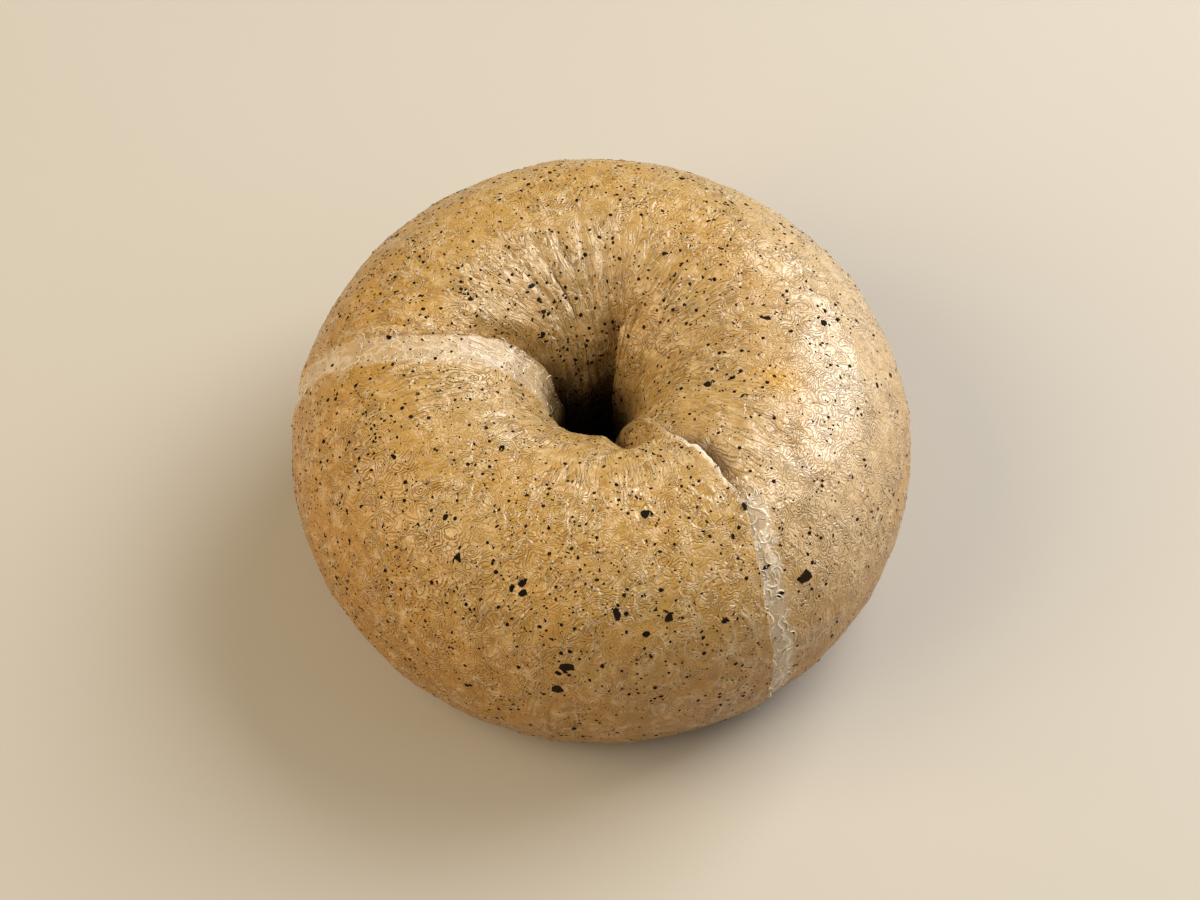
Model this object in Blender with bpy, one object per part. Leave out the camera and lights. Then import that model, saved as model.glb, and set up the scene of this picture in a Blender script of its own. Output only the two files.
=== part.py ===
"""A plump hand-rolled bagel: one ring of dough whose rope was lapped over its own end.

The ring starts as a torus primitive. Each of its points has a turn, its angle round the ring, and a
tilt, its angle round the dough's section: 0 degrees faces outwards, 90 up, 180 into the hole and 270
down. Functions of the two give the shape: an uneven outline, a hole off the middle, a flat underside,
and the seams that rolling and lapping the rope left in the dough.

Metres, +Z up. The bagel rests on Z = 0, and the origin is the middle of its box there. +Y is the side
away from the lapped end, whose open flap lies at the front right.
"""

import math

import bmesh
import bpy
from mathutils import Matrix, Vector

MM = 0.001

# Driving sizes
OUTER_RADIUS = 52.5 * MM
HEIGHT = 47.5 * MM
THROAT_RADIUS = 6.2 * MM  # the hole where it is narrowest
THROAT_OFFSET = Vector((-1.5, 1.8)) * MM  # from the middle of the ring
SECTION_SQUARENESS = 2.15  # 2 is an ellipse, more is fuller at its corners
SETTLING = 5.0 * MM  # how far the section's lowest point would lie under the table
FOOT_ROUNDING = 2.0 * MM  # height over which the side turns into the flat underside

# Mesh of the ring
RING_STATIONS = 114
SECTION_POINTS = 44

# Uneven outline: where round the ring, how broad in degrees, and how far out
OUTLINE_SWELLS = (
    (215, 32, -0.6 * MM),
    (152, 18, -0.6 * MM),
    (110, 40, 0.3 * MM),
    (55, 30, -0.3 * MM),
)

# The lap: the rope's end laid over the ring, an open flap at the top of the front right
LAP_TURN = 302.3
LAP_LEAN = 19  # degrees that the seam leans by, from the outer side to the hole
FLAP_TILT = 98
FLAP_SPREAD = 16
FLAP_CURL = 8  # degrees that its upper corner turns back by
FLAP_RISE = 0.9 * MM
FLAP_REACH = 0.6 * MM  # how far the flap's edge hangs over the pocket
FLAP_SWELL = 8.0 * MM  # how far back from its edge the flap still stands proud
POCKET_DEPTH = 2.6 * MM
POCKET_WIDTH = 4.8 * MM
SEAM_RISE = 0.35 * MM  # the lap's edge away from the flap

# The front lip: its edge over the hole, below which the skin lies deeper
LIP_TURN = 293
LIP_SPREAD = 13
LIP_TILT = 113
LIP_DEPTH = 3.6 * MM

# The tuck: where the ring comes out from under the rope's other end, deepening into the hole
TUCK_TURN = 171
TUCK_LEAN = -26
TUCK_RISE = 0.7 * MM
TUCK_SWELL = 5.0 * MM
TUCK_DEPTH = 2.6 * MM
TUCK_WIDTH = 4.8 * MM

# The strip of dough beside each seam that was covered while it rose
BAND_WIDTH = 5.6 * MM
BAND_DEPTH = 0.35 * MM

# The pinch: at the back of the hole the right side swells over the back
PINCH_TURN = 71
PINCH_LEAN = -16  # degrees that it leans by at the top of the ring
PINCH_RISE = 0.7 * MM
PINCH_SWELL = 4.0 * MM
PINCH_DEPTH = 2.8 * MM
PINCH_WIDTH = 5.4 * MM

# Soft hollows: the turn and tilt of each one's middle, how far it runs each way, and its depth
HOLLOWS = (
    (128, 58, 9, 26, 0.6 * MM),
    (352, 98, 13, 22, 0.5 * MM),
    (95, 92, 6, 9, 0.4 * MM),
    (235, 122, 16, 12, 0.4 * MM),
    (61, 131, 5, 9, 0.7 * MM),
    (60, 100, 6, 12, 0.6 * MM),
    (20, 112, 6, 16, 0.5 * MM),
)

# How much closer the ring's stations stand near each seam, and over how many degrees
CROWDING = ((LAP_TURN, 8.0, 4), (TUCK_TURN, 5.0, 5), (PINCH_TURN, 4.0, 6))
LEAN_SPREAD = 50  # degrees over which the stations beside a seam lean with it

DOUGH = {"colour": (0.56, 0.40, 0.20, 1.0), "roughness": 0.5}


def hump(value, middle, width):
    """1 at the middle, and smoothly down to 0 within about two widths."""
    return math.exp(-(((value - middle) / width) ** 2))


def ease(value, low, high):
    """0 below low, 1 above high, and smooth between them."""
    share = min(max((value - low) / (high - low), 0.0), 1.0)
    return share * share * (3 - 2 * share)


def turn_apart(turn, other):
    """The signed angle from other to turn, in degrees, the short way round."""
    return (turn - other + 180) % 360 - 180


def over_and_under(tilt, low, high):
    """Rises from 0 to 1 over the top of the section, and falls back to 0 on its underside."""
    return ease(tilt, low, high) - ease(tilt, 200, 320)


def lap_turn(tilt):
    curled = -FLAP_CURL * hump(tilt, 118, 16)
    return LAP_TURN + LAP_LEAN * over_and_under(tilt, 20, 150) + curled


def tuck_turn(tilt):
    return TUCK_TURN + TUCK_LEAN * over_and_under(tilt, 78, 176)


def ring_stations():
    """The turns of the ring's stations, closer together near the seams."""
    steps = 3600
    ends = [0.0]
    for step in range(steps):
        turn = (step + 0.5) * 360 / steps
        crowd = sum(more * hump(turn_apart(turn, at), 0, width) for at, more, width in CROWDING)
        ends.append(ends[-1] + 1 + crowd)
    stations = []
    step = 0
    for station in range(RING_STATIONS):
        wanted = ends[-1] * station / RING_STATIONS
        while ends[step + 1] <= wanted:
            step += 1
        part_way = (wanted - ends[step]) / (ends[step + 1] - ends[step])
        stations.append((step + part_way) * 360 / steps)
    return stations


def leaning_turn(station, tilt):
    """The turn of a station's point at this tilt: stations near a seam lean as the seam does."""
    by_lap = hump(turn_apart(station, LAP_TURN), 0, LEAN_SPREAD)
    by_tuck = hump(turn_apart(station, TUCK_TURN), 0, LEAN_SPREAD)
    lap_shift = lap_turn(tilt) - LAP_TURN
    tuck_shift = tuck_turn(tilt) - TUCK_TURN
    return station + by_lap * lap_shift + by_tuck * tuck_shift


def throat_reach(turn):
    """From the ring's middle to the narrowest part of the hole, which lies off the middle."""
    ray = Vector((math.cos(math.radians(turn)), math.sin(math.radians(turn))))
    along = ray.dot(THROAT_OFFSET)
    across_squared = THROAT_OFFSET.length_squared - along**2
    return along + math.sqrt(THROAT_RADIUS**2 - across_squared)


def outer_reach(turn):
    swells = sum(
        amount * hump(turn_apart(turn, at), 0, width) for at, width, amount in OUTLINE_SWELLS
    )
    return OUTER_RADIUS + swells


def fuller(cosine):
    """Bends a circle's cosine or sine towards a rounded square's."""
    return math.copysign(abs(cosine) ** (2 / SECTION_SQUARENESS), cosine)


def settled(height):
    """Presses what would lie under the table flat onto it, with a soft turn at the foot's edge."""
    if height >= FOOT_ROUNDING:
        return height
    if height <= -FOOT_ROUNDING:
        return 0.0
    return (height + FOOT_ROUNDING) ** 2 / (4 * FOOT_ROUNDING)


def overlap(beyond, rise, swell, depth, width):
    """The skin where one piece of dough lies over another, at a distance beyond the upper one's edge.

    The upper piece rises towards its edge, and the lower one sinks towards it from the other side.
    """
    if beyond < 0:
        return rise * math.exp(beyond / swell)
    return -depth * (1 - ease(beyond, 0, width))


def lap_relief(past, tilt):
    """(how far the skin moves round the ring, how far it moves out) at a distance past the lap."""
    flap = hump(tilt, FLAP_TILT, FLAP_SPREAD)
    rise = SEAM_RISE + (FLAP_RISE - SEAM_RISE) * flap
    depth = BAND_DEPTH + (POCKET_DEPTH - BAND_DEPTH) * flap
    width = BAND_WIDTH + (POCKET_WIDTH - BAND_WIDTH) * flap
    hang = FLAP_REACH * flap * hump(past, 0, 1.3 * MM) if past < 0 else 0.0
    return hang, overlap(past, rise, FLAP_SWELL, depth, width)


def tuck_relief(past, tilt):
    in_hole = ease(tilt, 82, 135) * (1 - ease(tilt, 195, 240))
    crease = overlap(-past, TUCK_RISE, TUCK_SWELL, TUCK_DEPTH, TUCK_WIDTH)
    band = -BAND_DEPTH * hump(past, BAND_WIDTH / 2, BAND_WIDTH / 2)
    return in_hole * crease + (1 - in_hole) * band


def pinch_turn(tilt):
    return PINCH_TURN + PINCH_LEAN * (1 - ease(tilt, 80, 135))


def pinch_relief(past, tilt):
    in_hole = ease(tilt, 112, 150) * (1 - ease(tilt, 195, 240))
    return in_hole * overlap(past, PINCH_RISE, PINCH_SWELL, PINCH_DEPTH, PINCH_WIDTH)


def lip_relief(turn, tilt):
    below = ease(tilt, LIP_TILT, LIP_TILT + 22) * (1 - ease(tilt, 160, 200))
    return -LIP_DEPTH * below * hump(turn_apart(turn, LIP_TURN), 0, LIP_SPREAD)


def hollow_relief(turn, tilt):
    return -sum(
        depth * hump(turn_apart(turn, at), 0, round_ring) * hump(tilt, up, round_section)
        for at, up, round_ring, round_section, depth in HOLLOWS
    )


def skin_point(station, tilt):
    """A point of the bagel's skin, from the ring's station and the section's tilt, in degrees."""
    turn = leaning_turn(station, tilt)
    inner, outer = throat_reach(turn), outer_reach(turn)
    half_width = (outer - inner) / 2
    half_height = (HEIGHT + SETTLING) / 2
    facing_out, facing_up = math.cos(math.radians(tilt)), math.sin(math.radians(tilt))
    reach = (inner + outer) / 2 + half_width * fuller(facing_out)
    height = half_height * (1 + fuller(facing_up)) - SETTLING

    degrees_to_length = math.radians(1) * reach
    past_lap = turn_apart(turn, lap_turn(tilt)) * degrees_to_length
    past_tuck = turn_apart(turn, tuck_turn(tilt)) * degrees_to_length
    past_pinch = turn_apart(turn, pinch_turn(tilt)) * degrees_to_length
    round_ring, out = lap_relief(past_lap, tilt)
    out += tuck_relief(past_tuck, tilt) + pinch_relief(past_pinch, tilt)
    out += lip_relief(turn, tilt) + hollow_relief(turn, tilt)

    turn += round_ring / degrees_to_length
    reach += out * facing_out
    height = settled(height + out * facing_up)
    angle = math.radians(turn)
    return Vector((reach * math.cos(angle), reach * math.sin(angle), height))


def clear_scene():
    for thing in list(bpy.data.objects):
        bpy.data.objects.remove(thing, do_unlink=True)


def dough_material():
    material = bpy.data.materials.new("bagel_dough")
    material.use_nodes = True
    shader = material.node_tree.nodes["Principled BSDF"]
    shader.inputs["Base Color"].default_value = DOUGH["colour"]
    shader.inputs["Roughness"].default_value = DOUGH["roughness"]
    material.diffuse_color = DOUGH["colour"]
    return material


def make_bagel(collection):
    """Shapes a torus primitive into the bagel, and centres its foot on the origin."""
    major_radius, minor_radius = 30 * MM, 20 * MM
    bpy.ops.mesh.primitive_torus_add(
        major_segments=RING_STATIONS,
        minor_segments=SECTION_POINTS,
        major_radius=major_radius,
        minor_radius=minor_radius,
    )
    bagel = bpy.context.active_object
    bagel.name = "bagel"
    bagel.data.name = "bagel"
    for owner in list(bagel.users_collection):
        owner.objects.unlink(bagel)
    collection.objects.link(bagel)

    stations = ring_stations()
    shape = bmesh.new()
    shape.from_mesh(bagel.data)
    for vertex in shape.verts:
        x, y, z = vertex.co
        evenly = math.degrees(math.atan2(y, x)) % 360
        tilt = math.degrees(math.atan2(z, math.hypot(x, y) - major_radius)) % 360
        station = stations[round(evenly * RING_STATIONS / 360) % RING_STATIONS]
        vertex.co = skin_point(station, tilt)
    corners = [
        Vector(pick(vertex.co[axis] for vertex in shape.verts) for axis in range(3))
        for pick in (min, max)
    ]
    middle = (corners[0] + corners[1]) / 2
    bmesh.ops.transform(
        shape,
        matrix=Matrix.Translation((-middle.x, -middle.y, -corners[0].z)),
        verts=shape.verts,
    )
    bmesh.ops.recalc_face_normals(shape, faces=shape.faces)
    bmesh.ops.triangulate(shape, faces=shape.faces, quad_method="SHORT_EDGE")
    shape.to_mesh(bagel.data)
    shape.free()
    bagel.data.shade_smooth()
    bagel.data.materials.append(dough_material())
    return bagel


def main():
    clear_scene()
    collection = bpy.data.collections.new("bagel")
    bpy.context.scene.collection.children.link(collection)
    make_bagel(collection)


main()
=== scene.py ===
"""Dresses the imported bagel: its crust with every fold and wrinkle, the fine specks and larger flakes
baked into it, the pale strands in its torn seams, and the stage that it is shown on.

The crust is one ring of skin. Each of its points has a turn, its angle round the ring, and a tilt, its
angle round the dough's section: 0 degrees faces outwards, 90 up, 180 into the hole and 270 down.
Distances along the skin that start at a seam are lengths, measured round the ring.

Blender units are metres, +Z is up, and the bagel rests on Z = 0.
"""

import math
import random

import bpy
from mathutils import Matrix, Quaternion, Vector, noise


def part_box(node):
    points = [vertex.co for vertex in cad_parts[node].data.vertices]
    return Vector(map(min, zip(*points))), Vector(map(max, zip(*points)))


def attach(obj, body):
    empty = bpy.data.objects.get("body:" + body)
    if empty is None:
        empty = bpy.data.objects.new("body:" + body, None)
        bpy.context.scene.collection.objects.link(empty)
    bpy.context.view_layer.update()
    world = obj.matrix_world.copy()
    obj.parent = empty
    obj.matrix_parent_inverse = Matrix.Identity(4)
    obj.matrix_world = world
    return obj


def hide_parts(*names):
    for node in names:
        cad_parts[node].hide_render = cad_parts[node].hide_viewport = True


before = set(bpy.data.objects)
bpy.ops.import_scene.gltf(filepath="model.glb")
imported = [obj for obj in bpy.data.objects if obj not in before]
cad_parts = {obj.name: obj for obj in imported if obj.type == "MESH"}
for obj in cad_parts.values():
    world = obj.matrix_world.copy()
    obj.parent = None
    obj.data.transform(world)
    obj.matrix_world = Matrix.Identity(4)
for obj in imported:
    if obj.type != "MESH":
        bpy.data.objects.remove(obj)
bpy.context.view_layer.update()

bl_info = {
    "name": "Bagel looks",
    "version": (1, 0, 0),
    "blender": (4, 5, 0),
    "location": "3D View > Sidebar > Bagel",
    "description": "Makes the crust, specks, flakes and strands of a hand-rolled bagel, and its stage",
    "category": "Object",
}

MM = 0.001
LOW, HIGH = (Vector(corner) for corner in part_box("bagel"))

# The ring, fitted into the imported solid's box
WIDTH = HIGH.x - LOW.x
HEIGHT = HIGH.z - LOW.z
OUTER_RADIUS = WIDTH / 2
THROAT_RADIUS = 0.118 * OUTER_RADIUS
THROAT_OFFSET = Vector((-1.5, 1.8)) * MM  # of the hole, from the middle of the ring
SECTION_SQUARENESS = 2.15  # 2 is an ellipse, more is fuller at its corners
SETTLING = 5.0 * MM  # how far the section's lowest point would lie under the table
FOOT_ROUNDING = 2.0 * MM  # height over which the side turns into the flat underside

# Uneven outline: turn, how far it runs in degrees, and how far out
OUTLINE_SWELLS = (
    (215, 32, -0.6 * MM),
    (152, 18, -0.6 * MM),
    (110, 40, 0.3 * MM),
    (55, 30, -0.3 * MM),
)
# Soft hollows: turn, tilt, how far they run round the ring and round the section, and how deep
HOLLOWS = (
    (128, 58, 9, 26, 0.6 * MM),
    (352, 98, 13, 22, 0.5 * MM),
    (95, 92, 6, 9, 0.4 * MM),
    (235, 122, 16, 12, 0.4 * MM),
    (89, 116, 2.6, 18, 0.7 * MM),
    (98, 112, 2, 17, 0.6 * MM),
    (106, 108, 2, 15, 0.6 * MM),
    (115, 116, 2.4, 17, 0.6 * MM),
    (125, 120, 2.4, 20, 0.5 * MM),
    (61, 131, 3.5, 7, 1.0 * MM),
    (60, 100, 6, 12, 0.6 * MM),
    (20, 112, 5, 16, 0.5 * MM),
    (330, 82, 3, 12, 0.4 * MM),
    (268, 96, 4, 12, 0.4 * MM),
    (200, 100, 5, 14, 0.4 * MM),
)

# The lap, with its open flap at the top of the front right
LAP_TURN = 302.3
LAP_LEAN = 19  # degrees that the seam leans by, from the outer side to the hole
FLAP_TILT = 98
FLAP_SPREAD = 16
FLAP_CURL = 8  # degrees that its upper corner turns back by
FLAP_RISE = 0.9 * MM
FLAP_REACH = 0.6 * MM  # how far the flap's edge hangs over the pocket
FLAP_SWELL = 8.0 * MM  # how far back from its edge the flap still stands proud
POCKET_DEPTH = 3.0 * MM
POCKET_WIDTH = 3.8 * MM
SEAM_RISE = 0.35 * MM  # the lap's edge away from the flap

# The front lip's edge over the hole, below which the skin lies deeper
LIP_TURN = 293
LIP_SPREAD = 13
LIP_TILT = 113
LIP_DEPTH = 3.6 * MM

# The tuck, where the ring comes out from under the rope's other end
TUCK_TURN = 171
TUCK_LEAN = -26
TUCK_RISE = 0.7 * MM
TUCK_SWELL = 5.0 * MM
TUCK_DEPTH = 2.8 * MM
TUCK_WIDTH = 4.2 * MM

BAND_WIDTH = 5.4 * MM  # the strip beside each seam that was covered while the dough rose
BAND_DEPTH = 0.35 * MM

# The pinch, where the right side swells over the back of the hole
PINCH_TURN = 71
PINCH_LEAN = -16
PINCH_RISE = 0.7 * MM
PINCH_SWELL = 4.0 * MM
PINCH_DEPTH = 3.2 * MM
PINCH_WIDTH = 4.6 * MM

# Mesh of the crust: quads round the ring and round its section
RING_STATIONS = 490
SECTION_POINTS = 200
# Stations crowd round each seam: turn, how many times more, and how far in degrees
CROWDING = ((LAP_TURN, 9.0, 3.5), (TUCK_TURN, 4.0, 5), (PINCH_TURN, 3.0, 6))
LEAN_SPREAD = 50  # degrees over which the stations beside a seam lean with it
UNDERSIDE_THINNING = 0.7  # share of the section's points taken from the underside for the top

# What marks the skin, in the order that the crust's vertices store it
MARKS = ("band", "rim", "pocket", "stretch", "sore", "side", "deep", "underside")
# What the graph that raises the relief stores as well
LAID = ("patches", "gloss_and_painted_sheen", "left_painted_shade", "worn", "lie")

# Where the skin is drawn, pulled and rubbed
GATHER_TURN = 104  # the middle of the deepest wrinkles
PULL_TURN = 326  # the middle of the skin that the flap pulled into creases
PULL_TILT = 88
SORE_TURN = 353
SORE_TILT = 89

# Where the larger flakes gather: turn, tilt, spread in degrees, how many, and the longest one
FLAKE_GATHERINGS = (
    (285, 45, 18, 10, 3.0 * MM),
    (215, 60, 18, 6, 2.2 * MM),
    (355, 90, 14, 3, 2.2 * MM),
    (130, 130, 7, 5, 1.7 * MM),
)

# Wrinkles of the outer skin
GRAIN_RADIUS = 30 * MM  # where one length of grain round the ring is one length of skin
DRAWN_LENGTH = 2.4 * MM  # between the middles of the whorls of wrinkles, where the skin is drawn
CURL_LENGTH = 2.7 * MM  # and where it lies at ease
DRAWN_SPACING = 0.6 * MM  # from one wrinkle to the next, where the skin is drawn
CURL_SPACING = 0.5 * MM
WRINKLE_HEIGHT = 0.18 * MM


# Shape of the ring


def hump(value, middle, width):
    """1 at the middle, and smoothly down to 0 within about two widths."""
    return math.exp(-(((value - middle) / width) ** 2))


def ease(value, low, high):
    """0 below low, 1 above high, and smooth between them."""
    share = min(max((value - low) / (high - low), 0.0), 1.0)
    return share * share * (3 - 2 * share)


def turn_apart(turn, other):
    """The signed angle from other to turn, in degrees, the short way round."""
    return (turn - other + 180) % 360 - 180


def wander(angle, beats, seed):
    """A smooth number from about -1 to 1 that wanders round a circle and meets itself."""
    angle = math.radians(angle)
    return noise.noise(Vector((math.cos(angle) * beats, math.sin(angle) * beats, seed)))


def over_and_under(tilt, low, high):
    """Rises from 0 to 1 over the top of the section, and falls back to 0 on its underside."""
    return ease(tilt, low, high) - ease(tilt, 200, 320)


def flap_share(tilt):
    """1 where the lap's flap stands open, and 0 where the lap lies pressed to the ring."""
    return hump(tilt, FLAP_TILT, FLAP_SPREAD)


def lap_turn(tilt):
    torn = flap_share(tilt) * (1.4 * wander(tilt, 6, 1) + 1.6 * wander(tilt, 22, 2) - 2)
    worn = 0.5 * wander(tilt, 12, 3)
    curled = -FLAP_CURL * hump(tilt, 118, 16)
    return LAP_TURN + LAP_LEAN * over_and_under(tilt, 20, 150) + curled + torn + worn


def tuck_turn(tilt):
    return TUCK_TURN + TUCK_LEAN * over_and_under(tilt, 78, 176) + 0.8 * wander(tilt, 8, 4)


def pinch_turn(tilt):
    ragged = 2.2 * wander(tilt, 6, 5) + 3.0 * wander(tilt, 18, 6)
    return PINCH_TURN + PINCH_LEAN * (1 - ease(tilt, 80, 135)) + ragged


def gathered_turn(turn, tilt):
    """The turn where a crease that starts here on top arrives as it runs towards the pinch."""
    apart = turn_apart(turn, PINCH_TURN)
    return turn - 0.45 * apart * hump(apart, 0, 60) * ease(tilt, 95, 160)


def ring_stations():
    """The turns of the ring's stations, closer together near the seams."""
    steps = 3600
    ends = [0.0]
    for step in range(steps):
        turn = (step + 0.5) * 360 / steps
        crowd = sum(more * hump(turn_apart(turn, at), 0, width) for at, more, width in CROWDING)
        ends.append(ends[-1] + 1 + crowd)
    stations = []
    step = 0
    for station in range(RING_STATIONS):
        wanted = ends[-1] * station / RING_STATIONS
        while ends[step + 1] <= wanted:
            step += 1
        part_way = (wanted - ends[step]) / (ends[step + 1] - ends[step])
        stations.append((step + part_way) * 360 / steps)
    return stations


def section_tilts():
    """The tilts of the section's points, further apart on the underside."""
    tilts = []
    for point in range(SECTION_POINTS):
        angle = 2 * math.pi * point / SECTION_POINTS
        tilts.append((math.degrees(angle - UNDERSIDE_THINNING * 0.5 * math.sin(angle)) + 90) % 360)
    return tilts


def leaning_turn(station, tilt):
    """The turn of a station's point at this tilt: stations near a seam lean as the seam does."""
    by_lap = hump(turn_apart(station, LAP_TURN), 0, LEAN_SPREAD)
    by_tuck = hump(turn_apart(station, TUCK_TURN), 0, LEAN_SPREAD)
    return station + by_lap * (lap_turn(tilt) - LAP_TURN) + by_tuck * (tuck_turn(tilt) - TUCK_TURN)


def throat_reach(turn):
    """From the ring's middle to the narrowest part of the hole, which lies off the middle."""
    ray = Vector((math.cos(math.radians(turn)), math.sin(math.radians(turn))))
    along = ray.dot(THROAT_OFFSET)
    across_squared = THROAT_OFFSET.length_squared - along**2
    return along + math.sqrt(THROAT_RADIUS**2 - across_squared)


def outer_reach(turn):
    swells = sum(
        amount * hump(turn_apart(turn, at), 0, width) for at, width, amount in OUTLINE_SWELLS
    )
    return OUTER_RADIUS + swells


def fuller(cosine):
    """Bends a circle's cosine or sine towards a rounded square's."""
    return math.copysign(abs(cosine) ** (2 / SECTION_SQUARENESS), cosine)


def settled(height):
    """Presses what would lie under the table flat onto it, with a soft turn at the foot's edge."""
    if height >= FOOT_ROUNDING:
        return height
    if height <= -FOOT_ROUNDING:
        return 0.0
    return (height + FOOT_ROUNDING) ** 2 / (4 * FOOT_ROUNDING)


def overlap(beyond, rise, swell, depth, width, undercut):
    """(how far the skin moves along the ring, how far it moves out) beside an upper piece's edge.

    The upper piece rises towards its edge and hangs over a wall, which leans back under it. Beyond
    the wall the lower piece comes back up. All are lengths, and beyond is measured from the edge.
    """
    hang = 0.4 * undercut
    if beyond < 0:
        return hang * math.exp(beyond / (1.2 * MM)), rise * math.exp(beyond / swell)
    wall = 0.9 * MM
    down = ease(beyond, 0, wall)
    back_up = ease(beyond, wall, wall + width)
    along = hang * (1 - down) - (wall + undercut) * down * (1 - back_up)
    return along, rise * (1 - down) - depth * down * (1 - back_up)


def lap_relief(past, tilt):
    flap = flap_share(tilt)
    return overlap(
        past,
        SEAM_RISE + (FLAP_RISE - SEAM_RISE) * flap,
        FLAP_SWELL,
        BAND_DEPTH + (POCKET_DEPTH - BAND_DEPTH) * flap,
        BAND_WIDTH + (POCKET_WIDTH - BAND_WIDTH) * flap,
        FLAP_REACH * flap,
    )


def tuck_relief(past, tilt):
    in_hole = ease(tilt, 82, 135) * (1 - ease(tilt, 195, 240))
    round_ring, out = overlap(-past, TUCK_RISE, TUCK_SWELL, TUCK_DEPTH, TUCK_WIDTH, 0.4 * MM)
    band = -BAND_DEPTH * ease(past, 0, 0.5 * MM) * (1 - ease(past, BAND_WIDTH - MM, BAND_WIDTH))
    return -in_hole * round_ring, in_hole * out + (1 - in_hole) * band


def pinch_relief(past, tilt):
    in_hole = ease(tilt, 120, 148) * (1 - ease(tilt, 195, 240))
    round_ring, out = overlap(past, PINCH_RISE, PINCH_SWELL, PINCH_DEPTH, PINCH_WIDTH, 0.3 * MM)
    return in_hole * round_ring, in_hole * out


def lip_relief(turn, tilt):
    below = ease(tilt, LIP_TILT, LIP_TILT + 18) * (1 - ease(tilt, 160, 200))
    return -LIP_DEPTH * below * hump(turn_apart(turn, LIP_TURN), 0, LIP_SPREAD)


def hollow_relief(turn, tilt):
    return -sum(
        depth
        * hump(turn_apart(turn, gathered_turn(at, tilt)), 0, round_ring)
        * hump(tilt, up, round_section)
        for at, up, round_ring, round_section, depth in HOLLOWS
    )


def above_underside(tilt):
    """The tilt as an angle from -90, the middle of the underside, over the top and back to 270."""
    return (tilt + 90) % 360 - 90


def marks_at(turn, tilt, past_lap, past_tuck, past_pinch):
    """How much of each of MARKS there is at a point of the skin, from 0 to 1."""
    up = above_underside(tilt)
    flap = flap_share(tilt)
    frayed = 0.5 * MM * noise.noise(Vector((turn, up, 7)) / 2.5)
    lap_band = ease(past_lap, 0, 0.3 * MM) * (1 - ease(past_lap + frayed, 3.6 * MM, BAND_WIDTH))
    lap_band *= ease(up, -60, -20) * (1 - ease(tilt, 68, 84) * (1 - ease(tilt, 200, 240)))
    tuck_band = ease(past_tuck + frayed, -0.2 * MM, 0.5 * MM)
    tuck_band *= 1 - ease(past_tuck + frayed, BAND_WIDTH, BAND_WIDTH + 0.8 * MM)
    tuck_band *= 0.65 * ease(up, -50, 20) * (1 - ease(up, 140, 175))
    # The flap's thin edge: pale torn dough, partly a painted highlight where the edge faces the light
    rim = flap * hump(past_lap, -0.1 * MM, 0.45 * MM)
    # Painted shade: the pocket under the open flap and the creases beside the tuck and the pinch are
    # painted dark
    pocket = flap * ease(past_lap, 0.1 * MM, 0.5 * MM)
    pocket *= 1 - ease(past_lap, 0.7 * POCKET_WIDTH, 1.2 * POCKET_WIDTH)
    tuck_crease = ease(up, 98, 125) * hump(past_tuck, -0.8 * MM, 0.8 * MM)
    pinch_crease = ease(up, 122, 140) * hump(past_pinch, 0.8 * MM, 0.8 * MM)
    pocket = max(pocket, 0.8 * tuck_crease, 0.8 * pinch_crease)
    stretch = ease(up, 72, 112) * (1 - ease(up, 190, 225))
    stretch *= 0.5 + 0.5 * hump(turn_apart(turn, GATHER_TURN), 0, 32)
    stretch += 0.7 * hump(turn_apart(turn, PULL_TURN), 0, 15) * hump(up, PULL_TILT, 16)
    sore = hump(turn_apart(turn, SORE_TURN), 0, 5) * hump(up, SORE_TILT, 8)
    # Low on the outside the crust is browner: partly its baked tone, partly painted shade
    side = 1 - ease(up, -15, 60)
    # Where the bottom of the hole is painted near black: painted shade
    deep = ease(up, 145, 182)
    underside = 1 - ease(up, -50, -32) + ease(up, 215, 240)
    return max(lap_band, tuck_band), rim, pocket, stretch, sore, side, deep, underside


def skin_point(station, tilt):
    """(place, marks, grain) of a point of the skin, from the ring's station and the section's tilt."""
    turn = leaning_turn(station, tilt)
    inner, outer = throat_reach(turn), outer_reach(turn)
    half_width = (outer - inner) / 2
    half_height = (HEIGHT + SETTLING) / 2
    facing_out, facing_up = math.cos(math.radians(tilt)), math.sin(math.radians(tilt))
    reach = (inner + outer) / 2 + half_width * fuller(facing_out)
    height = half_height * (1 + fuller(facing_up)) - SETTLING

    degrees_to_length = math.radians(1) * reach
    past_lap = turn_apart(turn, lap_turn(tilt)) * degrees_to_length
    past_tuck = turn_apart(turn, tuck_turn(tilt)) * degrees_to_length
    past_pinch = turn_apart(turn, pinch_turn(tilt)) * degrees_to_length
    moves = (
        lap_relief(past_lap, tilt),
        tuck_relief(past_tuck, tilt),
        pinch_relief(past_pinch, tilt),
        (0, lip_relief(turn, tilt)),
        (0, hollow_relief(turn, tilt)),
    )
    marks = marks_at(turn, tilt, past_lap, past_tuck, past_pinch)
    section_length = math.radians(above_underside(tilt)) * half_height
    round_ring = math.radians(2 * turn - gathered_turn(turn, tilt))
    grain = Vector((math.cos(round_ring), math.sin(round_ring), 0)) * GRAIN_RADIUS
    grain.z = section_length

    out = sum(move[1] for move in moves)
    turn += sum(move[0] for move in moves) / degrees_to_length
    reach += out * facing_out
    height = settled(height + out * facing_up)
    angle = math.radians(turn)
    return Vector((reach * math.cos(angle), reach * math.sin(angle), height)), marks, grain


# Node trees


class Wire:
    """A node's output that can stand in arithmetic, which adds the Math nodes it needs."""

    def __init__(self, graph, socket):
        self.graph = graph
        self.socket = socket

    def __add__(self, other):
        return self.graph.maths("ADD", self, other)

    def __sub__(self, other):
        return self.graph.maths("SUBTRACT", self, other)

    def __mul__(self, other):
        return self.graph.maths("MULTIPLY", self, other)

    def __truediv__(self, other):
        return self.graph.maths("DIVIDE", self, other)

    def __pow__(self, other):
        return self.graph.maths("POWER", self, other)

    def __rsub__(self, other):
        return self.graph.maths("SUBTRACT", other, self)

    __radd__ = __add__
    __rmul__ = __mul__


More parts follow.
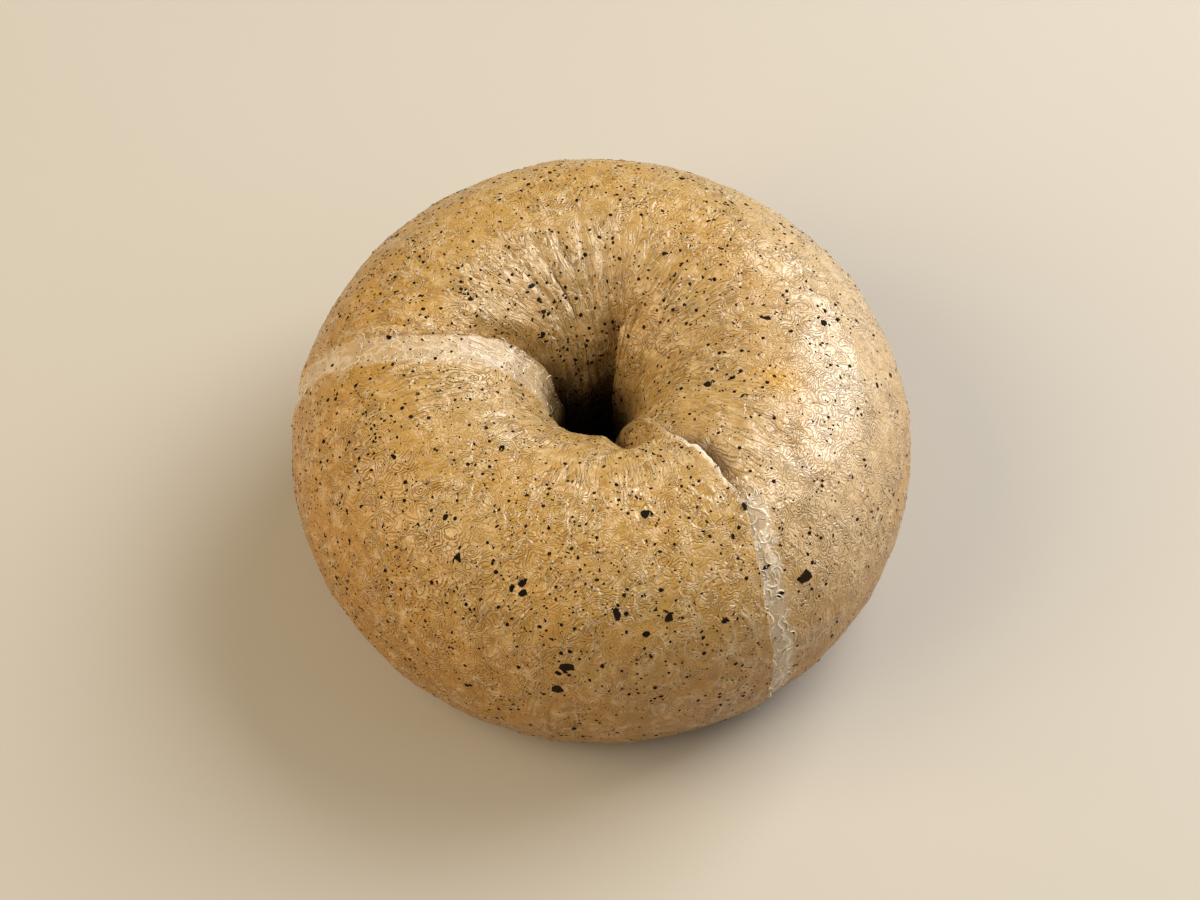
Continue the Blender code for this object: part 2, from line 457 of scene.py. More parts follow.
class Graph:
    """Adds nodes to a material's or a modifier's tree."""

    def __init__(self, tree):
        self.tree = tree

    def feed(self, socket, value):
        """Links a wire to a socket, or sets the socket to a plain value."""
        if isinstance(value, Wire):
            self.tree.links.new(value.socket, socket)
        else:
            socket.default_value = value

    def add(self, kind, settings=None, inputs=None, output=0):
        """A new node of this type. Its settings are made first, since they can change its sockets."""
        node = self.tree.nodes.new(kind)
        for name, value in (settings or {}).items():
            setattr(node, name, value)
        for name, value in (inputs or {}).items():
            self.feed(node.inputs[name], value)
        return Wire(self, node.outputs[output])

    def maths(self, operation, *values):
        return self.add("ShaderNodeMath", {"operation": operation}, dict(enumerate(values)))

    def vector_maths(self, operation, *values):
        return self.add("ShaderNodeVectorMath", {"operation": operation}, dict(enumerate(values)))

    def scaled(self, vector, factor):
        return self.add(
            "ShaderNodeVectorMath", {"operation": "SCALE"}, {"Vector": vector, "Scale": factor}
        )

    def smooth(self, value, low, high):
        """0 where value is below low, 1 above high, and smooth between them."""
        return self.add(
            "ShaderNodeMapRange",
            {"interpolation_type": "SMOOTHSTEP"},
            {"Value": value, "From Min": low, "From Max": high},
        )

    def noise(self, vector, feature, detail=1.0, distortion=0.0, roughness=0.5):
        """Noise from about 0 to 1, whose features are this long."""
        return self.add(
            "ShaderNodeTexNoise",
            inputs={
                "Vector": vector,
                "Scale": 1 / feature,
                "Detail": detail,
                "Roughness": roughness,
                "Distortion": distortion,
            },
        )

    def shoved(self, vector, across):
        """The vector, pushed about unevenly from place to place, over about this length."""
        shove = self.add(
            "ShaderNodeTexNoise",
            inputs={"Vector": vector, "Scale": 1 / (0.7 * across), "Detail": 1.0},
            output=1,
        )
        shove = self.vector_maths("SUBTRACT", shove, (0.5, 0.5, 0.5))
        return self.vector_maths("ADD", vector, self.scaled(shove, 1.1 * across))

    def whorls(self, shoved, across, spacing):
        """Rounded ridges this far apart, which run in uneven rings round points about across apart."""
        reach = self.add(
            "ShaderNodeTexVoronoi", {"feature": "F1"}, {"Vector": shoved, "Scale": 1 / across}
        )
        return self.maths("ABSOLUTE", self.maths("SINE", reach * (math.pi * across / spacing)))

    def stored(self, name, output=2):
        """What the mesh stores under this name: output 1 is a vector, and 2 a number."""
        return self.add("ShaderNodeAttribute", {"attribute_name": name}, output=output)

    def threads(self, height, level, fineness):
        """1 along the winding lines where height is at this level, and 0 between them."""
        return self.maths("MAXIMUM", 1 - self.maths("ABSOLUTE", height - level) * fineness, 0.0)

    def mix(self, share, first, second):
        """A colour that goes from first to second as share goes from 0 to 1."""
        factor, first_colour, second_colour = 0, 6, 7
        return self.add(
            "ShaderNodeMix",
            {"data_type": "RGBA"},
            {factor: share, first_colour: first, second_colour: second},
            output=2,
        )


class GeometryGraph(Graph):
    """The tree of a Geometry Nodes modifier, with the modifier's mesh as its first input."""

    def __init__(self, name):
        super().__init__(bpy.data.node_groups.new(name, "GeometryNodeTree"))
        self.start = self.tree.nodes.new("NodeGroupInput")
        self.identifiers = {}
        self.mesh = self.take("Mesh", "NodeSocketGeometry")
        self.tree.interface.new_socket("Mesh", in_out="OUTPUT", socket_type="NodeSocketGeometry")

    def take(self, name, kind):
        """A named input of the tree."""
        socket = self.tree.interface.new_socket(name, in_out="INPUT", socket_type=kind)
        self.identifiers[name] = socket.identifier
        return Wire(self, self.start.outputs[name])

    def size(self, name):
        return self.take(name, "NodeSocketFloat")

    def attribute(self, name, kind="FLOAT"):
        return self.add("GeometryNodeInputNamedAttribute", {"data_type": kind}, {"Name": name})

    def keep(self, mesh, name, value, kind="FLOAT"):
        """The mesh with this value stored on its points."""
        return self.add(
            "GeometryNodeStoreNamedAttribute",
            {"data_type": kind, "domain": "POINT"},
            {"Geometry": mesh, "Name": name, "Value": value},
        )

    def finish(self, mesh):
        end = self.tree.nodes.new("NodeGroupOutput")
        self.feed(end.inputs["Mesh"], mesh)

    def apply(self, host, name, values):
        """Runs the tree on a host object, and returns the result as a new plain object."""
        modifier = host.modifiers.new(self.tree.name, "NODES")
        modifier.node_group = self.tree
        for input_name, value in values.items():
            modifier[self.identifiers[input_name]] = value
        graph = bpy.context.evaluated_depsgraph_get()
        mesh = bpy.data.meshes.new_from_object(host.evaluated_get(graph), depsgraph=graph)
        host.modifiers.remove(modifier)
        mesh.name = name
        return linked(name, mesh)


def linked(name, mesh):
    """A new object in the scene for this mesh, at the origin."""
    made = bpy.data.objects.new(name, mesh)
    bpy.context.scene.collection.objects.link(made)
    return made


def new_material(name, settings):
    """(material, graph, shader), with the settings that are the same all over the surface."""
    material = bpy.data.materials.new(name)
    material.use_nodes = True
    shader = material.node_tree.nodes["Principled BSDF"]
    for socket, value in settings.items():
        shader.inputs[socket].default_value = value
    return material, Graph(material.node_tree), shader


# Crust


def skin_mesh():
    """The ring of skin as a mesh, with its marks and its grain stored on its vertices."""
    stations, tilts = ring_stations(), section_tilts()
    points = [skin_point(station, tilt) for station in stations for tilt in tilts]
    places = [place for place, _, _ in points]
    faces = []
    for ring in range(RING_STATIONS):
        this, following = ring * SECTION_POINTS, (ring + 1) % RING_STATIONS * SECTION_POINTS
        for point in range(SECTION_POINTS):
            beside = (point + 1) % SECTION_POINTS
            faces.append((this + point, following + point, following + beside, this + beside))
    lowest = Vector(min(place[axis] for place in places) for axis in range(3))
    highest = Vector(max(place[axis] for place in places) for axis in range(3))
    shift = (LOW + HIGH) / 2 - (lowest + highest) / 2
    shift.z = LOW.z - lowest.z
    mesh = bpy.data.meshes.new("crust")
    mesh.from_pydata([place + shift for place in places], [], faces)
    for index, name in enumerate(MARKS):
        values = mesh.attributes.new(name, "FLOAT", "POINT")
        values.data.foreach_set("value", [marks[index] for _, marks, _ in points])
    values = mesh.attributes.new("grain", "FLOAT_VECTOR", "POINT")
    values.data.foreach_set("vector", [number for _, _, grain in points for number in grain])
    mesh.shade_smooth()
    return mesh


def relief_tree():
    """Swells, dimples, folds and pimples, pushed out along the skin, and where its finish changes and
    where sheen and shade are painted.
    """
    graph = GeometryGraph("skin relief")
    swell_depth = graph.size("Swell Depth")
    dimple_depth = graph.size("Dimple Depth")
    wrinkle_depth = graph.size("Wrinkle Depth")
    pimple_height = graph.size("Pimple Height")
    place = graph.add("GeometryNodeInputPosition")
    stretch = graph.attribute("stretch")
    free = 1 - graph.attribute("underside")
    grain = graph.attribute("grain", "FLOAT_VECTOR")
    drawn = graph.vector_maths("MULTIPLY", grain, (1.0, 1.0, 0.22))
    swells = graph.noise(place, 11 * MM) - 0.5
    dimples = graph.noise(place, 3.2 * MM, detail=2.0) - 0.5
    folds = graph.threads(graph.noise(drawn, 3.4 * MM, distortion=0.6), 0.5, 4)
    folds = folds * graph.smooth(graph.noise(place, 8 * MM), 0.35, 0.65)
    pimples = graph.smooth(graph.noise(place, 1.3 * MM), 0.62, 0.8)
    out = swells * swell_depth + dimples * dimple_depth
    out += stretch * folds * wrinkle_depth + (1 - stretch) * pimples * pimple_height
    normal = graph.add("GeometryNodeInputNormal")
    moved = graph.add(
        "GeometryNodeSetPosition",
        inputs={"Geometry": graph.mesh, "Offset": graph.scaled(normal, out * free)},
    )
    patches = graph.smooth(graph.noise(place, 16 * MM, detail=2.0), 0.35, 0.68)
    worn = graph.smooth(graph.noise(place, 5 * MM, detail=1.0), 0.38, 0.6)
    lie = graph.smooth(graph.noise(place, 9 * MM) - stretch * 0.35, 0.3, 0.36)
    along = graph.vector_maths("MULTIPLY", grain, (1.0, 1.0, 0.32))
    sides = graph.add("ShaderNodeSeparateXYZ", inputs={0: place})
    # Painted sheen: the crust at the right is painted paler, and it is glossier there too
    gloss_and_painted_sheen = graph.smooth(sides, 14 * MM, 44 * MM)
    # Painted shade: the crust at the left is painted browner
    left_painted_shade = graph.smooth(sides, -12 * MM, -46 * MM)
    kept = graph.keep(moved, "patches", patches)
    kept = graph.keep(kept, "gloss_and_painted_sheen", gloss_and_painted_sheen)
    kept = graph.keep(kept, "left_painted_shade", left_painted_shade)
    kept = graph.keep(kept, "worn", worn)
    kept = graph.keep(kept, "lie", lie)
    kept = graph.keep(kept, "drawn", graph.shoved(along, DRAWN_LENGTH), "FLOAT_VECTOR")
    kept = graph.keep(kept, "curled", graph.shoved(place, CURL_LENGTH), "FLOAT_VECTOR")
    graph.finish(kept)
    return graph


def wrinkles(graph, marks):
    """(film between the grooves, pale strands, loops of the bands' net), each from 0 to 1."""
    drawn, curled = (graph.stored(name, 1) for name in ("drawn", "curled"))
    worn, lie = marks["worn"], marks["lie"]
    ridges = graph.whorls(drawn, DRAWN_LENGTH, DRAWN_SPACING) * (1 - lie)
    ridges = ridges + graph.whorls(curled, CURL_LENGTH, CURL_SPACING) * lie
    film = graph.smooth(ridges, 0.0, 0.8)
    tangle = graph.noise(curled, 2.6 * MM, detail=0.0)
    streaks = graph.noise(drawn, 2.0 * MM, detail=0.0)
    strands = graph.threads(tangle, 0.55, 24) * worn
    strands = graph.maths("MAXIMUM", strands, graph.threads(streaks, 0.56, 16) * worn)
    loops = graph.maths(
        "MAXIMUM", graph.threads(streaks, 0.5, 12), graph.threads(tangle, 0.45, 14)
    )
    return film, strands, loops


def open_crust_colour(graph, colours, marks, gloss_and_painted_sheen, mottle):
    """The crust away from its seams, before its wrinkles."""
    colour = graph.mix(marks["patches"], colours.golden, colours.greyish)
    # Browner low on the outside: partly baked tone, partly painted shade
    colour = graph.mix(marks["side"] * 0.9, colour, colours.side)
    colour = graph.mix(marks["stretch"] * 0.55, colour, colours.drawn)
    # Painted sheen: paler towards the right
    colour = graph.mix(gloss_and_painted_sheen * 0.32, colour, colours.gloss_and_painted_sheen)
    # Painted shade: browner towards the left
    colour = graph.mix(marks["left_painted_shade"] * 0.3, colour, colours.side)
    colour = graph.mix(graph.smooth(mottle, 0.5, 0.75) * 0.4, colour, colours.deep)
    return graph.mix(graph.smooth(mottle, 0.5, 0.3) * 0.3, colour, colours.pale)


def seam_colour(graph, colours, marks, mottle, loops, colour):
    """The same colour with the bands, painted shade under the flap, in the creases and in the hole, the
    flap's rim, the sore and the underside.
    """
    band_colour = graph.mix(loops, colours.band, colours.fibre)
    covered = marks["band"] * (0.6 + graph.smooth(mottle, 0.3, 0.6) * 0.3)
    colour = graph.mix(covered, colour, band_colour)
    # Painted shade under the open flap and in the creases beside the tuck and the pinch
    colour = graph.mix(marks["pocket"] * 0.85, colour, colours.pocket)
    # The flap's edge: pale torn dough, partly a painted highlight
    colour = graph.mix(marks["rim"], colour, colours.fibre)
    colour = graph.mix(marks["sore"] * graph.smooth(mottle, 0.25, 0.55), colour, colours.sore)
    # Painted shade: the bottom of the hole is painted near black
    colour = graph.mix(marks["deep"] * 0.95, colour, colours.painted_hole_shade)
    return graph.mix(marks["underside"] * 0.6, colour, colours.baked)


def crust_material(colours):
    """Satin crust, glossier at the right with a paler sheen painted there: golden and greyish patches,
    seams, and wrinkles that swirl or run into the hole."""
    material, graph, shader = new_material(
        "crust", {"IOR": 1.5, "Specular IOR Level": 0.8, "Coat Roughness": 0.27}
    )
    place = graph.add("ShaderNodeTexCoord", output=3)
    marks = {name: graph.stored(name) for name in (*MARKS, *LAID)}
    worn, band = marks["worn"], marks["band"]
    # Glossier at the right, where a paler sheen is also painted
    gloss_and_painted_sheen = marks["gloss_and_painted_sheen"] * (1 - marks["side"])
    mottle = graph.noise(place, 2.5 * MM, detail=2.0, roughness=0.6)
    film, strands, loops = wrinkles(graph, marks)

    colour = open_crust_colour(graph, colours, marks, gloss_and_painted_sheen, mottle)
    # Painted shade: the grooves between wrinkles are painted darker
    grooves = (1 - film) * (0.5 + worn * 0.5)
    colour = graph.mix(grooves * 0.6, colour, colours.deep)
    # Pale strands: partly the skin's own paler tone, partly painted highlights on the wrinkles' crests
    colour = graph.mix(strands * (0.4 + marks["stretch"] * 0.4), colour, colours.pale)
    colour = seam_colour(graph, colours, marks, mottle, loops, colour)

    grit = graph.noise(place, 0.4 * MM, detail=0.0)
    height = (film * (0.45 + worn * 0.3) + strands * 0.9) * (1 - band) + loops * band
    bump = graph.add(
        "ShaderNodeBump",
        inputs={"Strength": 1.0, "Distance": WRINKLE_HEIGHT, "Height": height + grit * 0.4},
    )
    graph.feed(shader.inputs["Base Color"], colour)
    graph.feed(shader.inputs["Roughness"], 0.42 - worn * 0.12 - gloss_and_painted_sheen * 0.12)
    graph.feed(shader.inputs["Coat Weight"], gloss_and_painted_sheen * (0.35 + worn * 0.2))
    graph.feed(shader.inputs["Normal"], bump)
    return material


def scattered_points(graph, density, seed, turning_seed):
    """(points on the skin, rotations that face outwards and turn each point at random)."""
    points = graph.add(
        "GeometryNodeDistributePointsOnFaces",
        inputs={"Mesh": graph.mesh, "Density": density, "Seed": seed},
    )
    facing = Wire(graph, points.socket.node.outputs["Rotation"])
    angle = random_number(graph, 0, 2 * math.pi, turning_seed)
    turned = graph.add(
        "FunctionNodeAxisAngleToRotation", inputs={"Axis": (0.0, 0.0, 1.0), "Angle": angle}
    )
    facing = graph.add(
        "FunctionNodeRotateRotation",
        {"rotation_space": "LOCAL"},
        {"Rotation": facing, "Rotate By": turned},
    )
    return points, facing


def speck_tree(material):
    """Fine ground specks, scattered over the skin and half sunk in it."""
    graph = GeometryGraph("speck scatter")
    density = graph.size("Density")
    smallest = graph.size("Smallest")
    largest = graph.size("Largest")
    place = graph.add("GeometryNodeInputPosition")
    clusters = 0.35 + graph.smooth(graph.noise(place, 7 * MM, detail=2.0), 0.3, 0.75) * 1.3
    clear = (1 - graph.attribute("band") * 0.7) * (1 - graph.attribute("pocket") * 0.8)
    clear = clear * (1 - graph.attribute("underside") * 0.5) * (1 - graph.attribute("side") * 0.35)
    # Fewer specks towards the right, standing in for the sheen that falls there: painted sheen
    sideways = graph.add("ShaderNodeSeparateXYZ", inputs={0: place})
    clear = clear * (1 - sideways * (0.4 / OUTER_RADIUS))
    points, facing = scattered_points(graph, density * clusters * clear, 7, 11)
    length = smallest + (largest - smallest) * random_number(graph, 0, 1, 12) ** 4
    breadth = length * random_number(graph, 0.45, 1.0, 13)
    grind = graph.add(
        "ShaderNodeCombineXYZ", inputs={0: length / 2, 1: breadth / 2, 2: breadth * 0.14}
    )
    speck = graph.add("GeometryNodeMeshIcoSphere", inputs={"Radius": 1.0, "Subdivisions": 1})
    specks = graph.add(
        "GeometryNodeInstanceOnPoints",
        inputs={"Points": points, "Instance": speck, "Rotation": facing, "Scale": grind},
    )
    finish_flecks(graph, specks, material, 0.35 * MM, 0.16 * MM)
    return graph


def random_number(graph, low, high, seed):
    lowest, highest = 2, 3
    return graph.add(
        "FunctionNodeRandomValue",
        {"data_type": "FLOAT"},
        {lowest: float(low), highest: float(high), "Seed": seed},
        output=1,
    )


def finish_flecks(graph, flecks, material, feature, uneven):
    """Gives each fleck its shade, makes them real and uneven, and sets their material."""
    shaded = graph.add(
        "GeometryNodeStoreNamedAttribute",
        {"data_type": "FLOAT", "domain": "INSTANCE"},
        {"Geometry": flecks, "Name": "shade", "Value": random_number(graph, 0, 1, 14)},
    )
    real = graph.add("GeometryNodeRealizeInstances", inputs={"Geometry": shaded})
    place = graph.add("GeometryNodeInputPosition")
    shove = graph.add(
        "ShaderNodeTexNoise", inputs={"Vector": place, "Scale": 1 / feature}, output=1
    )
    shove = graph.vector_maths("SUBTRACT", shove, (0.5, 0.5, 0.5))
    moved = graph.add(
        "GeometryNodeSetPosition",
        inputs={"Geometry": real, "Offset": graph.scaled(shove, uneven)},
    )
    graph.finish(
        graph.add("GeometryNodeSetMaterial", inputs={"Geometry": moved, "Material": material})
    )


def fleck_material(colours):
    """Dry black-brown flecks, some of them browner."""
    material, graph, shader = new_material("fleck", {"IOR": 1.45, "Specular IOR Level": 0.05})
    place = graph.add("ShaderNodeTexCoord", output=3)
    shade = graph.stored("shade")
    grit = graph.noise(place, 0.3 * MM, detail=2.0)
    colour = graph.mix(shade**3, colours.fleck, colours.fleck_brown)
    colour = graph.mix(graph.smooth(grit, 0.5, 0.8) * 0.5, colour, colours.fleck_brown)
    bump = graph.add(
        "ShaderNodeBump", inputs={"Strength": 0.6, "Distance": 0.05 * MM, "Height": grit}
    )
    graph.feed(shader.inputs["Base Color"], colour)
    graph.feed(shader.inputs["Roughness"], 0.5 + grit * 0.3)
    graph.feed(shader.inputs["Normal"], bump)
    return material


def gathered_flakes(chance):
    """The larger flakes, the longest first in each place where they gather."""
    places = []
    for turn, tilt, spread, count, longest in FLAKE_GATHERINGS:
        for number in range(count):
            length = longest * (1 - 0.5 * number / count)
            where = (chance.gauss(turn, spread), chance.gauss(tilt, spread))
            places.append((*where, length, chance.uniform(0, 180)))
    return places


def scattered_flakes(chance, sizes):
    """The smaller flakes, all over the ring, and fewer towards the hole."""
    places = []
    while len(places) < sizes.flake_count:
        tilt = chance.uniform(-45, 225)
        if chance.random() < 0.65 + 0.35 * math.cos(math.radians(tilt)):
            length = sizes.flake_smallest + chance.random() ** 2 * sizes.flake_spread
            places.append((chance.uniform(0, 360), tilt, length, chance.uniform(0, 180)))
    return places


def flake_host(crust, sizes):
    """A point for each larger flake, on the crust, with the way it faces and its size."""
    chance = random.Random(5)
    places = gathered_flakes(chance) + scattered_flakes(chance, sizes)
    points, ups, alongs, lengths = [], [], [], []
    for turn, tilt, length, heading in places:
        guess = skin_point(turn, tilt % 360)[0]
        _, point, up, _ = crust.closest_point_on_mesh(guess)
        round_ring = Vector((-guess.y, guess.x, 0)).normalized()
        along = Quaternion(up, math.radians(heading)) @ round_ring
        points.append(point)
        ups.append(up)
        alongs.append(along)
        lengths.append(length)
    mesh = bpy.data.meshes.new("flake places")
    mesh.from_pydata(points, [], [])
    for name, kind, field, values in (
        ("up", "FLOAT_VECTOR", "vector", [number for up in ups for number in up]),
        ("along", "FLOAT_VECTOR", "vector", [number for along in alongs for number in along]),
        ("length", "FLOAT", "value", lengths),
    ):
        mesh.attributes.new(name, kind, "POINT").data.foreach_set(field, values)
    return linked("flake places", mesh)


def flake_tree(material):
    """An angular plate on each point, lying along the skin."""
    graph = GeometryGraph("flake plates")
    thickness = graph.size("Thickness")
    length = graph.attribute("length")
    facing = graph.add(
        "FunctionNodeAxesToRotation",
        {"primary_axis": "Z", "secondary_axis": "X"},
        {
            "Primary Axis": graph.attribute("up", "FLOAT_VECTOR"),
            "Secondary Axis": graph.attribute("along", "FLOAT_VECTOR"),
        },
    )
    breadth = length * random_number(graph, 0.5, 0.95, 21)
    scale = graph.add(
        "ShaderNodeCombineXYZ", inputs={0: length / 2, 1: breadth / 2, 2: thickness}
    )
    plate = graph.add(
        "GeometryNodeMeshCone",
        inputs={"Vertices": 7, "Radius Top": 0.8, "Radius Bottom": 1.0, "Depth": 1.0},
    )
    plate = graph.add(
        "GeometryNodeTransform", inputs={"Geometry": plate, "Translation": (0.0, 0.0, -0.5)}
    )
    flakes = graph.add(
        "GeometryNodeInstanceOnPoints",
        inputs={"Points": graph.mesh, "Instance": plate, "Rotation": facing, "Scale": scale},
    )
    finish_flecks(graph, flakes, material, 0.9 * MM, 0.9 * MM)
    return graph


def strand_tree(material):
    """Thin curled strands of torn dough, lying along the bands beside the seams."""
    graph = GeometryGraph("strand scatter")
    density = graph.size("Density")
    thickness = graph.size("Thickness")
    smallest = graph.size("Smallest")
    largest = graph.size("Largest")
    share = graph.attribute("band") * (1 - graph.attribute("stretch"))
    points, facing = scattered_points(graph, density * share, 3, 31)
    arc = graph.add(
        "GeometryNodeCurveArc",
        {"mode": "RADIUS"},
        {"Resolution": 9, "Radius": 1.0, "Sweep Angle": math.radians(130)},
    )
    curls = graph.add(
        "GeometryNodeInstanceOnPoints",
        inputs={
            "Points": points,
            "Instance": arc,
            "Rotation": facing,
            "Scale": smallest + (largest - smallest) * random_number(graph, 0, 1, 32),
        },
    )
    curls = graph.add("GeometryNodeRealizeInstances", inputs={"Geometry": curls})
    profile = graph.add(
        "GeometryNodeCurvePrimitiveCircle", inputs={"Resolution": 5, "Radius": thickness / 2}
    )
    strands = graph.add(
        "GeometryNodeCurveToMesh",
        inputs={"Curve": curls, "Profile Curve": profile, "Fill Caps": True},
    )
    graph.finish(
        graph.add("GeometryNodeSetMaterial", inputs={"Geometry": strands, "Material": material})
    )
    return graph


def strand_material(colours):
    """Moist, pale, slightly see-through dough."""
    material, graph, shader = new_material(
        "strand",
        {
            "Subsurface Weight": 0.4,
            "Subsurface Radius": (1.0, 0.8, 0.6),
            "Subsurface Scale": 0.5 * MM,
            "Coat Roughness": 0.15,
            "IOR": 1.45,
        },
    )
    place = graph.add("ShaderNodeTexCoord", output=3)
    tone = graph.noise(place, 1.5 * MM, detail=2.0)
    grit = graph.noise(place, 0.25 * MM, detail=1.0)
    bump = graph.add(
        "ShaderNodeBump", inputs={"Strength": 0.5, "Distance": 0.03 * MM, "Height": grit}
    )
    colour = graph.mix(graph.smooth(tone, 0.3, 0.7), colours.band, colours.fibre)
    graph.feed(shader.inputs["Base Color"], colour)
    graph.feed(shader.inputs["Roughness"], 0.3 + tone * 0.2)
    graph.feed(shader.inputs["Coat Weight"], 0.2 + tone * 0.3)
    graph.feed(shader.inputs["Normal"], bump)
    return material


# Stage

SENSOR_WIDTH = 36  # millimetres, as the lens is
LENS_SHIFT = (-0.0008, -0.0029)
AIM_HEIGHT = 0.45 * HEIGHT
SKY_COLOUR = (1.0, 0.93, 0.82, 1.0)


def direction(turn, elevation):
    """A unit vector that points away from the bagel, round the table and up from it."""
    turn, elevation = math.radians(turn), math.radians(elevation)
    level = math.cos(elevation)
    return Vector((math.cos(turn) * level, math.sin(turn) * level, math.sin(elevation)))


def make_floor(stage):
    bpy.ops.mesh.primitive_plane_add(size=4)
    floor = bpy.context.active_object
    floor.name = "floor"
    material, graph, shader = new_material("floor", {"Roughness": 0.6})
    place = graph.add("ShaderNodeTexCoord", output=3)
    cloud = graph.noise(place, 60 * MM, detail=1.0)
    darker = tuple(0.97 * channel for channel in stage.floor_colour)
    graph.feed(shader.inputs["Base Color"], graph.mix(cloud, stage.floor_colour, darker))
    floor.data.materials.append(material)


def make_light(name, turn, elevation, size, power, colour):
    """A square lamp a metre from the bagel, shining at it."""
    lamp = bpy.data.lights.new(name, "AREA")
    lamp.size = size
    lamp.energy = power
    lamp.color = colour
    light = bpy.data.objects.new(name, lamp)
    bpy.context.scene.collection.objects.link(light)
    away = direction(turn, elevation)
    light.location = away
    light.rotation_euler = away.to_track_quat("Z", "Y").to_euler()


def make_sky(scene, stage):
    world = bpy.data.worlds.new("sky")
    world.use_nodes = True
    background = world.node_tree.nodes["Background"]
    background.inputs["Color"].default_value = SKY_COLOUR
    background.inputs["Strength"].default_value = stage.sky
    scene.world = world


def make_camera(scene, stage):
    eye = bpy.data.cameras.new("camera")
    eye.sensor_width = SENSOR_WIDTH
    eye.lens = stage.lens
    eye.shift_x, eye.shift_y = LENS_SHIFT
    camera = bpy.data.objects.new("camera", eye)
    scene.collection.objects.link(camera)
    away = direction(270, math.degrees(stage.camera_elevation))
    camera.location = Vector((0, 0, AIM_HEIGHT)) + away * stage.camera_distance
    camera.rotation_euler = away.to_track_quat("Z", "Y").to_euler()
    scene.camera = camera


# Settings


def colour_setting(name, description, default):
    return bpy.props.FloatVectorProperty(
        name=name,
        description=description,
        subtype="COLOR",
        size=4,
        min=0.0,
        max=1.0,
        default=(*default, 1.0),
    )


def length_setting(name, description, default):
    return bpy.props.FloatProperty(
        name=name,
        description=description,
        default=default * MM,
        min=0.0,
        precision=5,
        subtype="DISTANCE",
        unit="LENGTH",
    )


class BagelColours(bpy.types.PropertyGroup):
    """Colours of the crust and of what is in it, and of the shade, sheen and highlights painted on it."""

    golden: colour_setting("Golden", "Crust where it is warmest", (0.475, 0.268, 0.050))
    greyish: colour_setting("Greyish", "Crust where it is palest and greyest", (0.45, 0.275, 0.070))
    drawn: colour_setting("Drawn", "Where the skin is drawn into the hole", (0.44, 0.305, 0.145))
    # Partly the crust's baked tone, partly painted shade low on the outside
    side: colour_setting("Side", "Low on the outside, where the crust is browner", (0.40, 0.18, 0.010))
    # Deep paints shade into the valleys between wrinkles, and also darkens random mottle
    deep: colour_setting("Deep", "Valleys between wrinkles", (0.23, 0.10, 0.016))
    # Pale gives the wrinkles' crests a partly painted highlight, and lightens random mottle
    pale: colour_setting("Pale", "Crests of wrinkles", (0.78, 0.62, 0.40))
    # Painted sheen: paler crust at the right
    gloss_and_painted_sheen: colour_setting("Moist", "Crust at the right, where it is palest", (0.78, 0.66, 0.50))
    band: colour_setting("Band", "Strip that was covered while it rose", (0.51, 0.40, 0.27))
    # Fibre also colours the flap's edge, partly as a painted highlight
    fibre: colour_setting("Fibre", "Torn strands and the flap's thin rim", (0.82, 0.72, 0.56))
    # Painted shade: dark colour under the open flap and in the creases beside the tuck and the pinch
    pocket: colour_setting("Pocket", "Dough under the open flap", (0.22, 0.12, 0.045))
    # Painted shade: near black at the bottom of the hole
    painted_hole_shade: colour_setting("Throat", "Dough deep in the hole, near black", (0.045, 0.024, 0.010))
    sore: colour_setting("Sore", "Rubbed orange patch", (0.60, 0.33, 0.05))
    baked: colour_setting("Baked", "Underside", (0.36, 0.19, 0.07))
    fleck: colour_setting("Fleck", "Darkest specks and flakes", (0.008, 0.006, 0.004))
    fleck_brown: colour_setting("Brown fleck", "Palest specks and flakes", (0.025, 0.014, 0.008))


class BagelSizes(bpy.types.PropertyGroup):
    """Depths of the crust's relief, and sizes of what is in it."""

    swell_depth: length_setting("Swell depth", "Soft swells about 11 mm apart", 1.2)
    dimple_depth: length_setting("Dimple depth", "Dimples about 3 mm apart", 0.6)
    wrinkle_depth: length_setting("Wrinkle depth", "Wrinkles that run into the hole", 0.6)
    pimple_height: length_setting("Pimple height", "Small blisters of the outer skin", 0.16)
    speck_smallest: length_setting("Smallest speck", "Length of the smallest speck", 0.34)
    speck_largest: length_setting("Largest speck", "Length of the largest speck", 0.9)
    speck_density: bpy.props.FloatProperty(
        name="Speck density",
        description="Specks on each square metre of crust",
        default=420000,
        min=0,
    )
    flake_smallest: length_setting("Smallest flake", "Length of the smallest flake", 0.9)
    flake_spread: length_setting("Flake spread", "How much longer a flake can be", 0.9)
    flake_thickness: length_setting("Flake thickness", "Height of a flake over the skin", 0.12)
    flake_count: bpy.props.IntProperty(
        name="Scattered flakes",
        description="Flakes besides the larger ones that gather",
        default=60,
        min=0,
    )
    strand_thickness: length_setting("Strand thickness", "Thickness of a torn strand", 0.24)
    strand_smallest: length_setting("Smallest curl", "Radius of the tightest strand", 0.5)
    strand_largest: length_setting("Largest curl", "Radius of the widest strand", 1.3)
    strand_density: bpy.props.FloatProperty(
        name="Strand density",
        description="Strands on each square metre of band",
        default=300000,
        min=0,
    )


